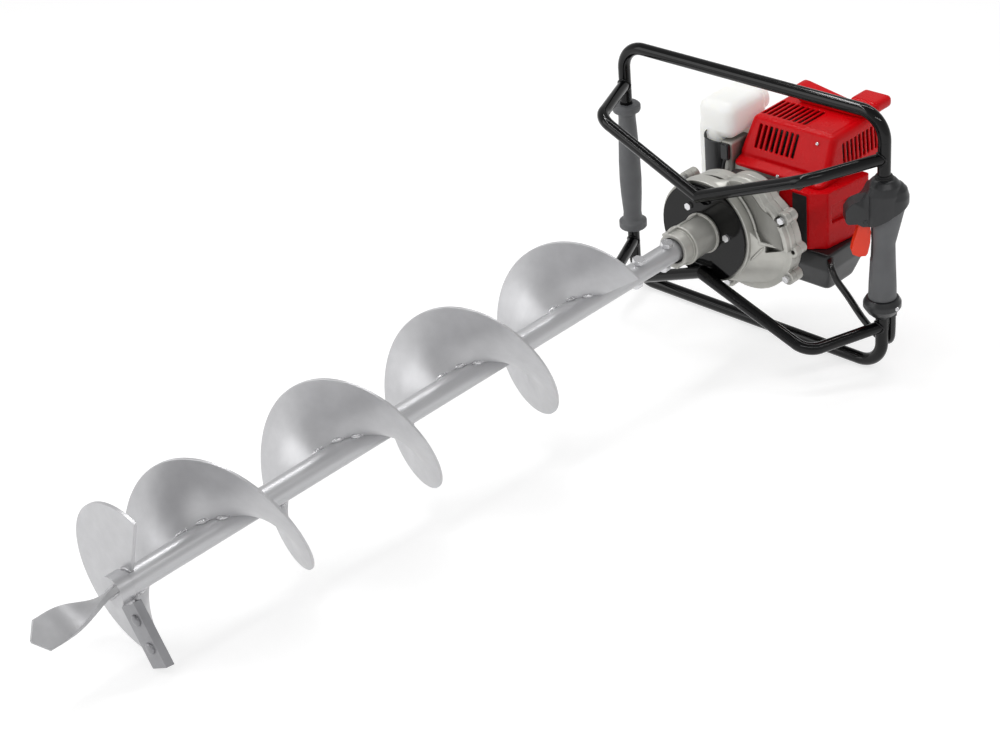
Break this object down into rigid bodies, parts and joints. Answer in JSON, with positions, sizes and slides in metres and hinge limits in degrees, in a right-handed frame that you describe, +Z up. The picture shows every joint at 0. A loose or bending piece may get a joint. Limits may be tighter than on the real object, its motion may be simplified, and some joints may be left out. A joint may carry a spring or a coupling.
{
  "type": "earth auger",
  "caption": "Petrol earth auger lying on its side: steel spiral bit with pilot point, reduction gearbox, red two-stroke engine, tubular two-hand frame with grips and throttle trigger.",
  "frame": {"origin": "on the ground, at the centre of the footprint's bounding box", "axes": "+X from the pilot point towards the engine, along the ground; +Y towards the plain left grip; +Z up"},
  "size_m": [1.4175, 0.5172, 0.4089],
  "materials": {
    "auger_steel": "grey enamel on rolled steel plate and tube",
    "blade_steel": "ground hardened steel",
    "zinc_bolts": "bright zinc plated",
    "gear_steel": "machined steel",
    "bush_bronze": "sintered bronze",
    "cast_aluminium": "as cast, fine grain",
    "frame_black": "gloss black powder coat",
    "grip_rubber": "satin grey grip rubber",
    "seal_rubber": "black nitrile",
    "cable_sleeve": "smooth black sleeve",
    "black_plastic": "fine grained moulding",
    "trigger_orange": "moulded orange-red",
    "cover_red": "moulded red",
    "muffler_steel": "heat darkened pressed steel",
    "tank_plastic": "milky translucent polyethylene"
  },
  "bodies": {
    "frame": {"gearbox_nose": "cast_aluminium", "mounting_disc": "frame_black", "disc_bolts": "zinc_bolts", "gearbox_front": "cast_aluminium", "gearbox_rear": "cast_aluminium", "gearbox_bolts": "zinc_bolts", "output_bearings": "gear_steel", "oil_seal": "seal_rubber", "idler_bushes": "bush_bronze", "input_bearing": "gear_steel", "loop_top_bar": "frame_black", "loop_bottom_bar": "frame_black", "left_leg": "frame_black", "right_leg": "frame_black", "upper_brace_left": "frame_black", "upper_brace_right": "frame_black", "lower_brace_left": "frame_black", "lower_brace_right": "frame_black", "throttle_cable": "cable_sleeve", "left_grip": "grip_rubber", "throttle_head": "black_plastic", "throttle_grip": "grip_rubber", "throttle_collar": "black_plastic", "trigger_pin": "zinc_bolts", "fan_housing": "black_plastic", "crankcase": "cast_aluminium", "engine_cylinder": "cast_aluminium", "muffler": "muffler_steel", "top_shroud": "cover_red", "side_cover": "cover_red", "air_filter": "black_plastic", "carburettor": "black_plastic", "fuel_tank": "tank_plastic", "tank_shield": "black_plastic", "rear_guard": "cover_red", "recoil_housing": "black_plastic"},
    "auger": {"bit_tube": "auger_steel", "flight_turn_1": "auger_steel", "flight_turn_2": "auger_steel", "flight_turn_3": "auger_steel", "flight_turn_4": "auger_steel", "half_moon_plate": "auger_steel", "cutting_blade": "blade_steel", "blade_bolts": "zinc_bolts", "tip_hub": "auger_steel", "pilot_point": "blade_steel", "coupling_bolts": "zinc_bolts", "output_shaft": "gear_steel", "output_gear": "gear_steel"},
    "idler": {"idler_shaft": "gear_steel", "idler_gear": "gear_steel"},
    "input": {"input_pinion": "gear_steel", "clutch_drum": "gear_steel"},
    "trigger": {"trigger": "trigger_orange"},
    "stop_switch": {"stop_switch": "trigger_orange"},
    "fuel_cap": {"fuel_cap": "black_plastic"},
    "starter_grip": {"starter_grip": "black_plastic"}
  },
  "joints": [
    {"name": "auger_spin", "type": "hinge", "parent": "frame", "child": "auger", "pos_m": [0.44909, 0.00514, 0.19284], "axis": [0.996, 0, 0.0889], "continuous": true},
    {"name": "idler_spin", "type": "hinge", "parent": "frame", "child": "idler", "pos_m": [0.47278, -0.04289, 0.23105], "axis": [0.996, 0, 0.0889], "continuous": true},
    {"name": "input_spin", "type": "hinge", "parent": "frame", "child": "input", "pos_m": [0.50965, -0.04486, 0.18921], "axis": [0.996, 0, 0.0889], "continuous": true},
    {"name": "trigger_squeeze", "type": "hinge", "parent": "frame", "child": "trigger", "pos_m": [0.53405, -0.20777, 0.2466], "axis": [-0.7043, -0.7071, -0.0629], "range_deg": [0, 12], "stiffness_Nm_per_rad": 0.6, "springref_deg": -28.65},
    {"name": "stop_switch_slide", "type": "slide", "parent": "frame", "child": "stop_switch", "axis": [-0.7043, 0.7071, -0.0629], "range_m": [0, 0.0055]},
    {"name": "fuel_cap_turn", "type": "hinge", "parent": "frame", "child": "fuel_cap", "pos_m": [0.64431, 0.07514, 0.32271], "axis": [0.996, 0, 0.0889], "range_deg": [0, 90]},
    {"name": "starter_pull", "type": "slide", "parent": "frame", "child": "starter_grip", "axis": [0.996, 0, 0.0889], "range_m": [0, 0.06], "stiffness_N_per_m": 60, "springref_m": -0.05}
  ],
  "couplings": [
    {"joint": "idler_spin", "follows": "auger_spin", "ratio": -5},
    {"joint": "input_spin", "follows": "auger_spin", "ratio": 25}
  ]
}
